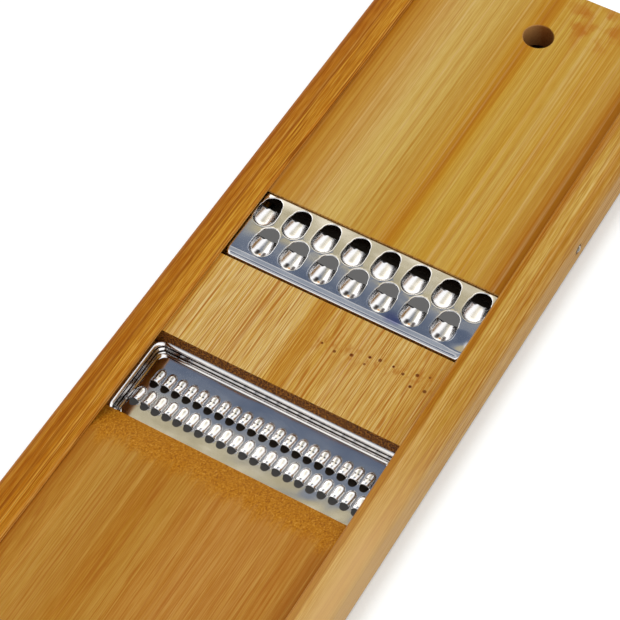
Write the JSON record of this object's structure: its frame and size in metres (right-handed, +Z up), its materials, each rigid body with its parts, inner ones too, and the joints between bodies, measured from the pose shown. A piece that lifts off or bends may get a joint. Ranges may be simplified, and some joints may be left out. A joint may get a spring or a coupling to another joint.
{
  "type": "mandoline slicer",
  "caption": "Flat bamboo board slicer with grooved side rails, a hanging hole and two pressed steel plates, coarse scoops facing up and fine teeth facing down.",
  "frame": {"origin": "centre of the bounding box's base: between the rails, half-way along the tool, at the rails' undersides", "axes": "+Y along the tool towards the hanging hole, +X across it towards the right rail, +Z up out of the coarse plate"},
  "size_m": [0.092, 0.32, 0.013],
  "materials": {
    "rail_bamboo": "carbonised bamboo, sanded and lightly oiled",
    "upper_bamboo": "laminated bamboo, sanded smooth",
    "middle_bamboo": "paler laminated bamboo, sanded, with a band of nodes",
    "lower_bamboo": "laminated bamboo, sanded smooth, ramp left coarser",
    "plate_steel": "bright pressed stainless sheet",
    "nail_steel": "plain wire nail"
  },
  "bodies": {
    "root": {"left_rail": "rail_bamboo", "right_rail": "rail_bamboo", "upper_board": "upper_bamboo", "middle_board": "middle_bamboo", "lower_board": "lower_bamboo", "coarse_plate": "plate_steel", "fine_plate": "plate_steel", "nail_left_1": "nail_steel", "nail_left_2": "nail_steel", "nail_left_3": "nail_steel", "nail_left_4": "nail_steel", "nail_right_1": "nail_steel", "nail_right_2": "nail_steel", "nail_right_3": "nail_steel", "nail_right_4": "nail_steel"}
  },
  "joints": []
}
